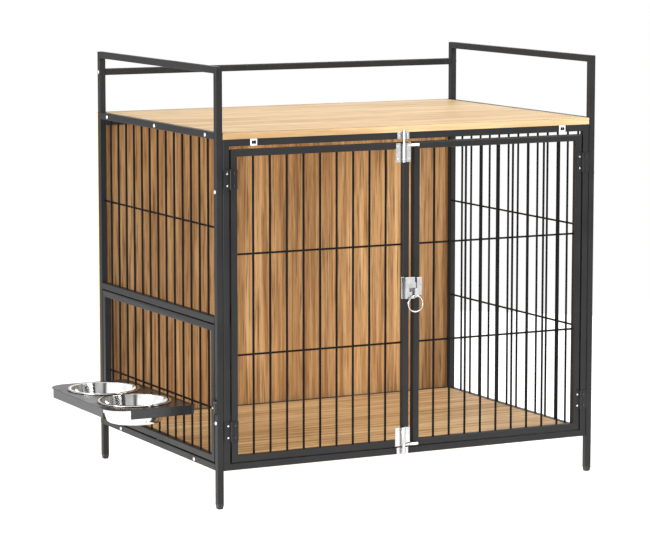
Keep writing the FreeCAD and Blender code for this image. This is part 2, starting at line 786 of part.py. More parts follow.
def make_bowls():
    """Two spun steel bowls that hang by their rims in the tray's holes."""
    outside = [
        ("bowl_base - bowl_corner", "-bowl_depth"),
        ("bowl_base", "bowl_corner - bowl_depth"),
        ("bowl_radius", "seat_gap"),
    ]
    rim = [
        ("bowl_rim - bowl_bead", "seat_gap"),
        ("bowl_rim", "seat_gap + bowl_bead"),
        ("bowl_rim - bowl_bead", "bowl_rim_height"),
    ]
    inside = [
        ("bowl_base - bowl_corner", "bowl_sheet - bowl_depth"),
        ("bowl_base - bowl_sheet", "bowl_corner - bowl_depth"),
        ("bowl_radius - bowl_sheet", "bowl_rim_height - bowl_bead"),
        ("bowl_radius - bowl_sheet + bowl_bead + overrun", "bowl_rim_height + overrun"),
    ]
    for name, sign in (("bowl_front", -1), ("bowl_rear", 1)):
        full = fuse(f"{name}_full", turned(f"{name}_outside", BOWL_SIDES, outside),
                    turned(f"{name}_rim", BOWL_SIDES, rim))
        bowl = cut(name, full, turned(f"{name}_inside", BOWL_SIDES, inside))
        finish(bowl, BOWL_X, f"{sign} * bowl_spacing / 2 - tray_shift", "tray_top_z")


def make_turn_button():
    """The plastic button on the front left post, and the screw that it turns on."""
    button = new_body("feeder_turn_button")
    face = sketch(button, "YZ_Plane")
    half_width = "button_width / 2"
    half_length = "button_length / 2"
    rectangle(face, f"-{half_width}", f"-{half_length}", half_width, half_length)
    circle(face, "0", "0", "button_pin / 2 + pin_fit")
    pad(button, face, "button_height", reverse=True)
    dress(button, "Chamfer", "button_corner", lambda edge: runs_along(edge, X))
    dress(button, "Chamfer", "button_facet", lambda edge: runs_along(edge, X))
    outer_x = "-width / 2 - seat_gap"
    dress(button, "Chamfer", "button_edge", lambda edge: is_button_rim(edge))
    finish(button, outer_x, f"-{POST_Y}", "button_z")
    length = "(button_height + 2 * seat_gap + bolt_length)"
    shank = cylinder("button_shank", "button_pin / 2", length, "-bolt_length",
                     turn=Rotation(Y, 90))
    head = prism("button_head", BAR_SIDES, "bolt_head_top / 2", "screw_head",
                 f"{length} - bolt_length", turn=Rotation(Y, 90))
    screw = copies("button_screw", [(fuse("button_screw_master", shank, head),
                                     "-width / 2", f"-{POST_Y}", "button_z", Rotation(Z, 180))])
    finish(screw)


def is_button_rim(edge):
    """True for an edge of the button's outer face, but not of its screw hole."""
    extent = edge.BoundBox
    outer = extent.XMax < NEAR - SIZES["button_height"]
    hole = max(abs(extent.YMin), abs(extent.YMax), abs(extent.ZMin), abs(extent.ZMax))
    return outer and hole > SIZES["button_pin"]


# ---------------------------------------------------------------- bolts and screws
def carriage_bolt():
    """A bolt along X: its domed head from X 0 outwards, its square neck towards -X."""
    body = new_body("carriage_bolt")
    face = sketch(body, "YZ_Plane")
    step = 360 / BAR_SIDES
    turns = [f"({step * (i + 0.5)} deg)" for i in range(BAR_SIDES)]
    outline(face, [(f"bolt_head_width / 2 * cos{turn}", f"bolt_head_width / 2 * sin{turn}")
                   for turn in turns])
    dome = pad(body, face, "bolt_head")
    bind(dome, TaperAngle="-atan((bolt_head_width - bolt_head_top) / 2 / bolt_head)")
    neck = sketch(body, "YZ_Plane")
    square(neck, "bolt_neck")
    pad(body, neck, "bolt_length", reverse=True)
    return body


def make_side_bolts():
    """Bright bolts in the two sides, their heads outwards and their necks in the tubes."""
    bolt = carriage_bolt()
    table_z = "table_height - tube / 2"
    floor_z = "lower_rail_z + tube / 2"
    spots = [(f"{i} * table_bolt_pitch", table_z) for i in (-1, 0, 1)]
    spots += [(f"{i} * floor_bolt_pitch / 2", floor_z) for i in (-1, 1)]
    spots += [(f"-{POST_Y}", "low_post_bolt_z"), (f"-{POST_Y}", HIGH_BOLT_Z)]
    spots += [(POST_Y, BACK_RAIL_Z)]
    places = []
    for sign in (-1, 1):
        turn = Rotation() if sign > 0 else Rotation(Z, 180)
        places += [(bolt, f"{sign} * width / 2", y, z, turn) for y, z in spots]
    finish(copies("side_bolts", places))


def make_panel_screws():
    """Screw heads on the back panel, over the rear posts."""
    head = prism("screw_head_master", BAR_SIDES, "screw_head_width / 2", "screw_head",
                 turn=Rotation(X, -90))
    low = "lower_rail_z + screw_inset"
    high = "table_height - screw_inset"
    middle = "(lower_rail_z + table_height) / 2"
    places = [(head, f"{sign} * {POST_X}", "depth / 2 + panel_thickness", z, Rotation())
              for sign in (-1, 1) for z in (low, middle, high)]
    finish(copies("back_panel_screws", places))


# ---------------------------------------------------------------- barrel bolts
def fitting(label, width, height, z0, slot_z0="", slot_z1=""):
    """A pressed plate with a barrel over the bolt's rod, the rod's axis at X 0 and Y 0.

    The plate's back lies bolt_stand behind the axis. A slot for the handle may open its side.
    """
    back = "bolt_stand"
    z1 = f"({z0} + {height})"
    plate = box(f"{label}_plate", f"-{width} / 2", f"{back} - fitting_sheet", z0,
                f"{width} / 2", back, z1)
    walls = box(f"{label}_walls", "-barrel / 2", "0", z0, "barrel / 2", back, z1)
    half_side = Rotation(Z, 180 / BARREL_SIDES)
    round_front = prism(f"{label}_round", BARREL_SIDES, around("barrel / 2", BARREL_SIDES),
                        height, z=z0, turn=half_side)
    bore = cylinder(f"{label}_bore", "bolt_rod / 2 + bolt_fit", f"{height} + 2 * overrun",
                    z=f"{z0} - overrun")
    tools = [bore]
    if slot_z0:
        tools.append(box(f"{label}_slot", "0", f"-{BARREL_SLOT}", slot_z0, "barrel",
                         BARREL_SLOT, slot_z1))
    return cut(label, fuse(f"{label}_solid", plate, walls, round_front), *tools)


def sliding_rod(label):
    """A bolt's rod with its handle towards +X, in the same frame as its housing."""
    tail = "(housing_height - rod_tail)"
    shaft = cylinder(f"{label}_shaft", "bolt_rod / 2", f"{tail} + rod_reach - rod_nose",
                     z=f"-{tail}")
    nose = turned(f"{label}_nose", BAR_SIDES,
                  [("bolt_rod / 2", "0"), ("bolt_rod / 2 - rod_nose", "rod_nose")],
                  z="rod_reach - rod_nose")
    sideways = Rotation(Y, 90)
    neck = prism(f"{label}_neck", BAR_SIDES, "handle_neck / 2",
                 "handle_neck_length + handle_neck / 2", z="-handle_inset", turn=sideways)
    knob = turned(f"{label}_knob", BARREL_SIDES, [
        ("handle_knob / 2", "0"),
        ("handle_knob / 2", "handle_knob_length - handle_knob_edge"),
        ("handle_knob / 2 - handle_knob_edge", "handle_knob_length"),
    ], "handle_neck_length", z="-handle_inset", turn=sideways)
    return fuse(label, shaft, nose, neck, knob)


def turned_over(label, original):
    """The mirror image of a piece, upside down."""
    image = doc.addObject("Part::Mirroring", label)
    image.Source = original
    image.Normal = Z
    return image


def make_barrel_bolts():
    """Bolts at the top and bottom of the left door, with a keeper on the frame for each."""
    x = "-bolt_rod_x"
    slot_low = f"-(handle_inset + bolt_travel + {BARREL_SLOT})"
    slot_high = f"-(handle_inset - {BARREL_SLOT})"
    upper = fitting("top_bolt_housing", "housing_width", "housing_height", "-housing_height",
                    slot_low, slot_high)
    upper_rod = sliding_rod("top_bolt")
    lower = turned_over("bottom_bolt_housing", fitting(
        "lower_housing_upright", "housing_width", "housing_height", "-housing_height",
        slot_low, slot_high))
    lower_rod = turned_over("bottom_bolt", sliding_rod("lower_rod_upright"))
    for piece in (upper, upper_rod):
        finish(piece, x, BOLT_Y, f"{DOOR_TOP_Z} - housing_inset")
    for piece in (lower, lower_rod):
        finish(piece, x, BOLT_Y, f"{DOOR_Z} + housing_inset")
    for label, z in (("top_bolt_keeper", f"{BOARD_Z} - tube"),
                     ("bottom_bolt_keeper", "lower_rail_z")):
        finish(fitting(label, "keeper_width", "tube", "0"), x, BOLT_Y, z)


# ---------------------------------------------------------------- latch between the doors
def make_latch():
    """Spring latch: cover on the left door, sliding tongue with its pull ring, and keeper."""
    left = f"({LATCH_RIGHT} - latch_width)"
    flange_x = f"({left} + latch_flange)"
    front = f"({FRONT} - latch_depth)"
    low = "latch_z"
    high = "(latch_z + latch_height)"
    skin = "fitting_sheet"
    plate = box("latch_plate", left, f"{FRONT} - {skin}", low, LATCH_RIGHT, FRONT, high)
    cover = box("latch_cover", flange_x, front, low, LATCH_RIGHT, f"{FRONT} - {skin}", high)
    hollow = box("latch_hollow", f"{flange_x} + {skin}", f"{front} + {skin}", f"{low} + {skin}",
                 f"{LATCH_RIGHT} + overrun", f"{FRONT} - {skin}", f"{high} - {skin}")
    stem_left = f"({LUG_X} - stem_width / 2)"
    stem_right = f"({LUG_X} + stem_width / 2)"
    stem_top = f"({TONGUE_Z} + stem_height)"
    slot = box("latch_slot", f"{stem_left} - tongue_travel - slot_gap", f"{front} - overrun",
               f"{TONGUE_Z} - slot_gap", f"{LATCH_RIGHT} + overrun",
               f"{front} + {skin} + overrun", f"{stem_top} + slot_gap")
    finish(cut("latch_housing", fuse("latch_shell", plate, cover), hollow, slot))

    blade = box("tongue_blade", f"{TONGUE_TIP} - tongue_length", TONGUE_Y, TONGUE_Z, TONGUE_TIP,
                f"{FRONT} - tongue_back", f"{TONGUE_Z} + tongue_height")
    lug_left = f"({LUG_X} - lug_thickness / 2)"
    lug_back = f"({EYE_Y} + eye / 2 + eye_wall)"
    stem = box("tongue_stem", stem_left, lug_back, TONGUE_Z, stem_right, TONGUE_Y, stem_top)
    lug = box("tongue_lug", lug_left, f"{FRONT} - lug_front", f"{EYE_Z} - eye / 2 - eye_wall",
              f"{LUG_X} + lug_thickness / 2", lug_back, stem_top)
    eye = cylinder("tongue_eye", "eye / 2", "lug_thickness + 2 * overrun",
                   f"{lug_left} - overrun", EYE_Y, EYE_Z, Rotation(Y, 90))
    finish(cut("latch_tongue", fuse("tongue_solid", blade, stem, lug), eye))

    finish(pull_ring(), LUG_X, EYE_Y, f"{EYE_Z} - ring_radius", Rotation(X, 90))

    keeper_low = "(latch_z + keeper_rise)"
    block = box("keeper_block", KEEPER_LEFT, f"{FRONT} - keeper_depth", keeper_low,
                f"{KEEPER_LEFT} + keeper_length", FRONT, f"{keeper_low} + keeper_height")
    mouth = box("keeper_mouth", f"{KEEPER_LEFT} - overrun", f"{TONGUE_Y} - keeper_gap",
                f"{TONGUE_Z} - keeper_gap", f"{TONGUE_TIP} + keeper_gap",
                f"{FRONT} - tongue_back + keeper_gap",
                f"{TONGUE_Z} + tongue_height + keeper_gap")
    finish(cut("latch_keeper", block, mouth))


def pull_ring():
    """A wire ring about its own Z axis, the wire's section an octagon."""
    half = "ring_wire / 2"
    flat = f"({half} * tan(180 deg / {PIN_SIDES}))"
    outside = [(f"ring_radius + {flat}", f"-{half}"), (f"ring_radius + {half}", f"-{flat}"),
               (f"ring_radius + {half}", flat), (f"ring_radius + {flat}", half)]
    inside = [(f"ring_radius - {flat}", f"-{half} - overrun"),
              (f"ring_radius - {flat}", f"-{half}"), (f"ring_radius - {half}", f"-{flat}"),
              (f"ring_radius - {half}", flat), (f"ring_radius - {flat}", half),
              (f"ring_radius - {flat}", f"{half} + overrun")]
    return cut("latch_ring", turned("ring_outside", RING_SIDES, outside),
               turned("ring_inside", RING_SIDES, inside))


def make_clips():
    """Two slotted clips on the front top rail."""
    half_web = "clip_web / 2"
    face = box("clip_face", "-clip_width / 2", f"{FRONT} - clip_depth", f"{BOARD_Z} - tube",
               "clip_width / 2", FRONT, BOARD_Z)
    middle = f"({BOARD_Z} - tube / 2)"
    slots = [box(f"clip_slot_{name}", x0, f"{FRONT} - clip_depth - overrun",
                 f"{middle} - clip_slot_height / 2", x1, f"{FRONT} + overrun",
                 f"{middle} + clip_slot_height / 2")
             for name, x0, x1 in (("left", f"-{half_web} - clip_slot", f"-{half_web}"),
                                  ("right", half_web, f"{half_web} + clip_slot"))]
    clip = cut("clip", face, *slots)
    finish(copies("rail_clips", [(clip, f"{sign} * clip_x", "0", "0", Rotation())
                                 for sign in (-1, 1)]))


# ---------------------------------------------------------------- write the parts
def check_document():
    """Stop if any object failed, or if a node's shape is null, broken or empty."""
    doc.recompute()
    failed = [item.Name for item in doc.Objects
              if {"Invalid", "Error"} & set(item.State)]
    if failed:
        raise RuntimeError(f"failed objects: {failed}")
    for label, piece in nodes.items():
        shape = piece.Shape
        if shape.isNull() or not shape.isValid() or not shape.Solids:
            raise RuntimeError(f"{label} has no valid solid")


def export_parts():
    os.makedirs("parts", exist_ok=True)
    for label, piece in nodes.items():
        piece.Shape.exportStep(f"parts/{label}.step")


fill_sheet()
make_posts()
make_side_rails()
make_cross_rails()
make_front_frame()
make_feet()
make_boards()
make_grilles()
make_door_frames()
make_hinges()
make_feeder_panel()
make_pivot_pins()
make_tray()
make_bowls()
make_turn_button()
make_side_bolts()
make_panel_screws()
make_barrel_bolts()
make_latch()
make_clips()
check_document()
export_parts()
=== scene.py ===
"""Looks of the dog crate end table: finishes, small fittings, floor, light and camera.

Everything is in metres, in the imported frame: +X to the right as one faces the doors, +Y from the
doors to the back, +Z up, with the floor at Z 0.
"""
import json
import math

import bmesh
import bpy
from mathutils import Matrix, Vector

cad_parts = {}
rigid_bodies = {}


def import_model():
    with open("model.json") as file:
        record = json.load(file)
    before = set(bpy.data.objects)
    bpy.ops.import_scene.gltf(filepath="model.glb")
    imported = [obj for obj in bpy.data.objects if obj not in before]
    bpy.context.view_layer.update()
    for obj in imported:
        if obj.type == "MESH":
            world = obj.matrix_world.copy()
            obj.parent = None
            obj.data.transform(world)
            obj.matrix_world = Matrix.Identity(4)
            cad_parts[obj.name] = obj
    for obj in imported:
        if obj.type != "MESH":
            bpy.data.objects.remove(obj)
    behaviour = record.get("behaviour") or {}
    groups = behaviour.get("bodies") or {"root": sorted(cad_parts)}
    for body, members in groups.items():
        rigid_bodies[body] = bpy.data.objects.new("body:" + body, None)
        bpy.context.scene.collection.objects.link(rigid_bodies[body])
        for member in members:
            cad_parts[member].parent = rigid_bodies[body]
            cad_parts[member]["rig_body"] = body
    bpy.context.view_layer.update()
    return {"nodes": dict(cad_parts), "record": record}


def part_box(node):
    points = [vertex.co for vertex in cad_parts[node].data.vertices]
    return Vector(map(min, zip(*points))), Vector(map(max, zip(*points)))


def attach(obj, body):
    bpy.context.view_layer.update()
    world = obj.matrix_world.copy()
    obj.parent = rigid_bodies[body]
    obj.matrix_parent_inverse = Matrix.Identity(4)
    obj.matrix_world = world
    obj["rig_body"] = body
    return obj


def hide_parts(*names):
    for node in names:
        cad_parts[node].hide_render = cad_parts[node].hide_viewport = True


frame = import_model()
nodes = frame["nodes"]
node_slot = {s["node"]: s["material_slot"] for s in frame["record"]["subparts"]}

# Words in the names of the nodes of plated sheet and of square tube, and the boards.
SHEETS = ("bolt_housing", "bolt_keeper", "latch_housing", "latch_keeper", "latch_tongue")
TUBES = ("post", "rail", "front_frame", "door_frame", "panel_frame")
BOARDS = ("top_board", "floor_board", "back_panel")

# The room round the object, from its left wall (0) to its right wall (1), and how bright it is.
ROOM_WALLS = ((0.02, 1.0), (0.22, 1.0), (0.27, 0.1), (0.32, 0.1), (0.37, 0.5), (0.58, 0.45),
              (0.61, 0.03), (0.66, 0.03), (0.69, 0.95), (0.77, 0.95), (0.80, 0.03), (0.86, 0.03),
              (0.90, 0.5), (0.98, 0.3))
ROOM_STRENGTH = 1.25

# The photograph's camera, found by fitting the frame's corners.
PHOTO_WIDTH = 650            # pixels
FOCAL_LENGTH = 2942.319      # pixels
SENSOR_WIDTH = 36.0          # millimetres
CAMERA_SPOT = (-3.009301, -6.006193, 1.343087)
CAMERA_YAW = 26.965858       # degrees from +Y towards +X
CAMERA_PITCH = 7.558125      # degrees down


# ---------------------------------------------------------------- materials
def rgba(colour):
    """A colour with full cover, or the socket that gives one."""
    return colour if isinstance(colour, bpy.types.NodeSocket) else (*colour, 1)


class Tree:
    """The node tree of a material or world, with short ways to add and join its nodes."""

    def __init__(self, owner):
        self.owner = owner
        owner.use_nodes = True
        self.tree = owner.node_tree

    def feed(self, socket, value):
        """Join a socket to another, or give it a value."""
        if isinstance(value, bpy.types.NodeSocket):
            self.tree.links.new(value, socket)
        else:
            socket.default_value = value

    def add(self, kind, inputs=None, **settings):
        node = self.tree.nodes.new(kind)
        for key, value in settings.items():
            setattr(node, key, value)
        for key, value in (inputs or {}).items():
            self.feed(node.inputs[key], value)
        return node

    def set(self, **inputs):
        """Feed the material's own shader."""
        shader = self.tree.nodes["Principled BSDF"]
        for key, value in inputs.items():
            self.feed(shader.inputs[key.replace("_", " ")], value)

    def place(self, scale=(1, 1, 1)):
        """Object coordinates, in metres, or stretched."""
        coords = self.add("ShaderNodeTexCoord")
        return self.stretch(coords.outputs["Object"], scale)

    def stretch(self, vector, scale):
        return self.add("ShaderNodeMapping", {"Vector": vector, "Scale": scale}).outputs["Vector"]

    def noise(self, vector, scale, detail, roughness=0.5, distortion=0.0):
        node = self.add("ShaderNodeTexNoise", {
            "Vector": vector, "Scale": scale, "Detail": detail, "Roughness": roughness,
            "Distortion": distortion})
        return node.outputs["Fac"]

    def ramp(self, fac, stops):
        """Colours by position, through two or more stops in rising order."""
        node = self.add("ShaderNodeValToRGB", {"Fac": fac})
        points = node.color_ramp.elements
        for point, (position, colour) in ((points[0], stops[0]), (points[-1], stops[-1])):
            point.position = position
            point.color = rgba(colour)
        for position, colour in stops[1:-1]:
            points.new(position).color = rgba(colour)
        return node.outputs["Color"]

    def span(self, fac, low, high, from_low=0.0, from_high=1.0):
        """A number moved from one span to another, and held inside it."""
        node = self.add("ShaderNodeMapRange", {
            "Value": fac, "From Min": from_low, "From Max": from_high,
            "To Min": low, "To Max": high})
        return node.outputs["Result"]

    def mix(self, fac, a, b, blend="MIX"):
        """Two colours mixed. The node's inputs 0, 6 and 7 are its factor and its two colours."""
        node = self.add("ShaderNodeMix", {0: fac, 6: rgba(a), 7: rgba(b)}, data_type="RGBA",
                        blend_type=blend)
        return node.outputs[2]

    def maths(self, operation, a, b=0.5):
        node = self.add("ShaderNodeMath", {0: a, 1: b}, operation=operation)
        return node.outputs["Value"]

    def bump(self, height, distance, strength):
        inputs = {"Height": height, "Distance": distance, "Strength": strength}
        return self.add("ShaderNodeBump", inputs).outputs["Normal"]


def new_material(name):
    return Tree(bpy.data.materials.new(name))


def powder_coat(name, dark, light, rough, gloss, grain=900.0, depth=0.00005):
    """Sprayed coat: a fine orange-peel surface, slightly uneven in tone and gloss."""
    t = new_material(name)
    spot = t.place()
    cloud = t.noise(spot, scale=14, detail=3)
    peel = t.noise(spot, scale=grain, detail=2, roughness=0.6)
    t.set(Base_Color=t.ramp(cloud, [(0.3, dark), (0.7, light)]),
          Specular_IOR_Level=gloss,
          Roughness=t.span(cloud, rough - 0.05, rough + 0.06, from_low=0.3, from_high=0.7),
          Normal=t.bump(peel, depth, strength=0.5))
    return t.owner


def plated(name, colour, rough, along="Z", corner_shade_light=0.2):
    """Plated steel: fine rolling marks along one axis, a little haze, and painted shade that
    darkens its corners.

    The last argument is how light the painted shade leaves the deepest corners.
    """
    t = new_material(name)
    squeeze = {"X": (0.06, 1, 1), "Z": (1, 1, 0.06)}[along]
    lines = t.noise(t.place(squeeze), scale=900, detail=3, roughness=0.6)
    haze = t.noise(t.place(), scale=60, detail=3)
    hazy = [c * 0.8 for c in colour]
    tone = t.mix(t.span(haze, 0, 1, from_low=0.35, from_high=0.65), hazy, colour)
    # Painted shade: ambient occlusion darkens the colour in corners and where parts meet.
    corner = t.add("ShaderNodeAmbientOcclusion", {"Distance": 0.004}, samples=8)
    painted_corner_shade = t.ramp(corner.outputs["AO"], [(0.35, [corner_shade_light] * 3), (0.8, (1, 1, 1))])
    t.set(Base_Color=t.mix(1.0, tone, painted_corner_shade, "MULTIPLY"),
          Metallic=1.0,
          Roughness=t.span(lines, rough * 0.7, rough * 1.5, from_low=0.3, from_high=0.7),
          Normal=t.bump(lines, 0.00003, strength=0.4))
    return t.owner


def moulded(name, dark, light, rough):
    """Moulded plastic: a very fine eggshell grain."""
    t = new_material(name)
    grain = t.noise(t.place(), scale=1500, detail=2)
    cloud = t.noise(t.place(), scale=40, detail=2)
    t.set(Base_Color=t.ramp(cloud, [(0.35, dark), (0.65, light)]),
          Roughness=t.span(grain, rough - 0.05, rough + 0.08, from_low=0.3, from_high=0.7),
          Normal=t.bump(grain, 0.00004, strength=0.4))
    return t.owner


# Oak decor: how many waves per metre lie across the grain, and how many along it.
GRAIN_WAVES = (75, 2.2)
PORE_WAVES = (230, 7.0)
BAND_WAVES = (11, 0.7)
RING_WAVES = (13, 1.0)

# How much of the broad figure the bands and the rings make up, and how far from its middle value a
# board reaches its darkest and lightest tone.
BAND_SHARE = 0.6
RING_SHARE = 0.16
CONTRAST = 0.13


def along_grain(t, spot, along, waves, fineness=1.0):
    """Coordinates stretched along the grain."""
    across, lengthwise = waves[0] * fineness, waves[1]
    scale = (lengthwise, across, across) if along == "X" else (across, across, lengthwise)
    return t.stretch(spot, scale)


def strips(t, spot, along, width):
    """Coordinates shifted strip by strip across the grain, and each strip's own number."""
    side = "Y" if along == "X" else "X"
    across = t.add("ShaderNodeSeparateXYZ", {"Vector": spot}).outputs[side]
    number = t.maths("FLOOR", t.maths("DIVIDE", across, width))
    strip = t.add("ShaderNodeTexWhiteNoise", {"W": number}, noise_dimensions="1D")
    shift = t.add("ShaderNodeVectorMath", {0: strip.outputs["Color"], 1: (3.0, 3.0, 3.0)},
                  operation="MULTIPLY")
    moved = t.add("ShaderNodeVectorMath", {0: spot, 1: shift.outputs[0]}, operation="ADD")
    return moved.outputs[0], strip.outputs["Value"]


def tone_strips(t, colour, number, uneven):
    """Each strip darker and redder, or lighter and yellower."""
    low, high = 1.0 - uneven, 1.0 + uneven
    shade = t.ramp(number, [(0.0, (low, low * 0.97, low * 0.94)), (0.5, (1.0, 1.0, 1.0)),
                            (1.0, (high, high * 1.02, high * 1.05))])
    return t.mix(1.0, colour, shade, "MULTIPLY")


def growth(t, spot, along, grain, figure):
    """The board's figure, from its fine grain and its wide bands and rings, set round 0.5."""
    bands = t.noise(along_grain(t, spot, along, BAND_WAVES), scale=1.0, detail=3, distortion=1.2)
    rings = t.add("ShaderNodeTexWave", {
        "Vector": along_grain(t, spot, along, RING_WAVES), "Scale": 0.9, "Distortion": 7.0,
        "Detail": 2.0, "Detail Scale": 0.6, "Detail Roughness": 0.5}, wave_type="BANDS",
        bands_direction="Y" if along == "X" else "X").outputs["Fac"]
    broad = t.maths("ADD", t.maths("MULTIPLY", bands, BAND_SHARE),
                    t.maths("MULTIPLY", rings, RING_SHARE))
    grain_share = 1.0 - 0.5 * figure
    value = t.maths("ADD", t.maths("MULTIPLY", broad, figure),
                    t.maths("MULTIPLY", grain, grain_share))
    middle = ((BAND_SHARE + RING_SHARE) * figure + grain_share) / 2
    return t.span(value, 0.0, 1.0, from_low=middle - CONTRAST, from_high=middle + CONTRAST)


def band_edges(t, colour, fine, band):
    """The edge band, on the faces that look along X."""
    facing = t.add("ShaderNodeTexCoord").outputs["Normal"]
    sideways = t.add("ShaderNodeSeparateXYZ", {"Vector": facing}).outputs["X"]
    edge = t.maths("GREATER_THAN", t.maths("ABSOLUTE", sideways), 0.8)
    return t.mix(edge, colour, t.ramp(fine, [(0.3, [c * 0.9 for c in band]), (0.6, band)]))


def wood(name, tones, along, rough, figure, pores, fineness=1.0, strip_width=0.0, uneven=0.0,
         band=None):
    """Oak decor with its grain along one axis.

    tones are dark, middle and light. figure is how strongly the wide growth bands show, pores how
    strongly the fine dark lines do, and fineness scales how close the grain lies. strip_width
    splits the sheet into strips across the grain, each lighter or darker by up to uneven. band is
    the tone of the edge band.
    """
    t = new_material(name)
    dark, middle, light = tones
    spot = t.place()
    if strip_width:
        spot, number = strips(t, spot, along, strip_width)
    grain = t.noise(along_grain(t, spot, along, GRAIN_WAVES, fineness), scale=1.0, detail=6,
                    roughness=0.72, distortion=0.3)
    fine = t.noise(along_grain(t, spot, along, PORE_WAVES, fineness), scale=1.0, detail=3,
                   roughness=0.65)
    colour = t.ramp(growth(t, spot, along, grain, figure),
                    [(0.0, dark), (0.5, middle), (1.0, light)])
    lines = t.span(fine, 0.0, pores, from_low=0.50, from_high=0.68)
    colour = t.mix(lines, colour, [c * 0.62 for c in dark])
    if strip_width:
        colour = tone_strips(t, colour, number, uneven)
    if band:
        colour = band_edges(t, colour, fine, band)
    t.set(Base_Color=colour, Roughness=t.span(fine, rough - 0.05, rough + 0.1),
          Specular_IOR_Level=0.3,
          Normal=t.bump(t.maths("SUBTRACT", grain, lines), 0.00003, strength=0.3))
    return t.owner


frame_coat = powder_coat("frame_powder_coat", (0.013, 0.013, 0.014), (0.018, 0.018, 0.019),
                         rough=0.42, gloss=0.28)
bar_coat = powder_coat("bar_powder_coat", (0.003, 0.003, 0.003), (0.005, 0.005, 0.005),
                       rough=0.5, gloss=0.12)
tray_coat = powder_coat("tray_powder_coat", (0.022, 0.023, 0.024), (0.030, 0.031, 0.032),
                        rough=0.25, gloss=0.5, grain=600.0, depth=0.00003)
bright_plate = plated("bright_plate", (0.88, 0.88, 0.87), rough=0.13, corner_shade_light=0.5)
# Its corners turn nearly black: painted shade beside the barrels and folds of the sheet.
sheet_plate = plated("sheet_plate", (0.66, 0.66, 0.66), rough=0.17, corner_shade_light=0.03)
# A dark copy of the plated finish: painted shade on the hinge screws to the right of their pins.
painted_shade_screw = plated("painted_shade_screw", (0.10, 0.10, 0.10), rough=0.2)
zinc_plate = plated("zinc_plate", (0.86, 0.87, 0.88), rough=0.18, along="X")
bowl_steel = plated("bowl_steel", (0.90, 0.90, 0.89), rough=0.10, corner_shade_light=0.8)
black_plastic = moulded("black_plastic", (0.008, 0.008, 0.008), (0.014, 0.014, 0.014), rough=0.4)
clip_finish = moulded("clip_finish", (0.80, 0.80, 0.80), (0.86, 0.86, 0.86), rough=0.35)
table_wood = wood("table_oak", ((0.49, 0.305, 0.140), (0.72, 0.485, 0.250), (0.83, 0.61, 0.355)),
                  "X", rough=0.45, figure=0.75, pores=0.3, fineness=0.4)
panel_wood = wood("panel_oak", ((0.36, 0.18, 0.065), (0.57, 0.325, 0.135), (0.74, 0.475, 0.225)),
                  "Z", rough=0.55, figure=0.2, pores=1.0, strip_width=0.118, uneven=0.18,
                  band=(0.74, 0.64, 0.47))
floor_wood = wood("floor_oak", ((0.42, 0.245, 0.105), (0.75, 0.495, 0.245), (0.89, 0.68, 0.39)),
                  "X", rough=0.5, figure=0.6, pores=0.5, fineness=0.35)

SLOT_FINISH = {
    "frame": frame_coat, "grille": bar_coat, "tray": tray_coat, "bright_plate": bright_plate,
    "zinc": zinc_plate, "bowl_steel": bowl_steel, "table_wood": table_wood,
    "panel_wood": panel_wood, "floor_wood": floor_wood, "black_plastic": black_plastic,
    "clip": clip_finish,
}


def has_word(name, words):
    return any(word in name for word in words)


def dress_nodes():
    """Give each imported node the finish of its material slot, and plated sheets their own."""
    for name, node in nodes.items():
        node.data.materials.clear()
        finish = sheet_plate if has_word(name, SHEETS) else SLOT_FINISH[node_slot[name]]
        node.data.materials.append(finish)


# ---------------------------------------------------------------- mesh tools
def to_object(bm, name, finish, smooth=True):
    """A new object from a bmesh, which is freed."""
    mesh = bpy.data.meshes.new(name)
    bmesh.ops.remove_doubles(bm, verts=bm.verts, dist=1e-7)
    bmesh.ops.recalc_face_normals(bm, faces=bm.faces)
    bm.to_mesh(mesh)
    bm.free()
    piece = bpy.data.objects.new(name, mesh)
    bpy.context.scene.collection.objects.link(piece)
    mesh.materials.append(finish)
    for face in mesh.polygons:
        face.use_smooth = smooth
    return piece


def lathe(bm, outline, centre, turn=None, steps=96):
    """Revolve (radius, height) points about Z, then turn and move the result to centre."""
    turn = turn or Matrix.Identity(3)
    rings = []
    for radius, height in outline:
        if radius < 1e-7:
            rings.append([bm.verts.new(centre + turn @ Vector((0, 0, height)))])
            continue
        ring = []
        for i in range(steps):
            a = 2 * math.pi * i / steps
            spot = Vector((radius * math.cos(a), radius * math.sin(a), height))
            ring.append(bm.verts.new(centre + turn @ spot))
        rings.append(ring)
    for low, high in zip(rings, rings[1:]):
        for i in range(steps):
            j = (i + 1) % steps
            corners = [low[i % len(low)], low[j % len(low)],
                       high[j % len(high)], high[i % len(high)]]
            unique = list(dict.fromkeys(corners))
            if len(unique) > 2:
                bm.faces.new(unique)


def turned_to(axis):
    """The turn that brings Z to an axis."""
    return Vector((0, 0, 1)).rotation_difference(Vector(axis)).to_matrix()


def arc(cx, cy, radius, start, end, steps):
    """Points on an arc, angles in degrees."""
    return [(cx + radius * math.cos(math.radians(start + (end - start) * i / steps)),
             cy + radius * math.sin(math.radians(start + (end - start) * i / steps)))
            for i in range(steps + 1)]


def dome(radius, height, steps=8):
    """Outline of a domed head, from its rim to its top."""
    return [(radius * math.cos(a), height * math.sin(a))
            for a in (math.radians(90 * i / steps) for i in range(steps + 1))]


def rounded_box(bm, low, high, radius, steps=3):
    """A box with every edge rounded."""
    made = bmesh.ops.create_cube(bm, size=1.0)["verts"]
    middle, size = (low + high) / 2, high - low
    for vert in made:
        vert.co = middle + Vector([vert.co[i] * size[i] for i in range(3)])
    edges = list({edge for vert in made for edge in vert.link_edges})
    bmesh.ops.bevel(bm, geom=edges, offset=radius, segments=steps, profile=0.5,
                    affect="EDGES", clamp_overlap=True)


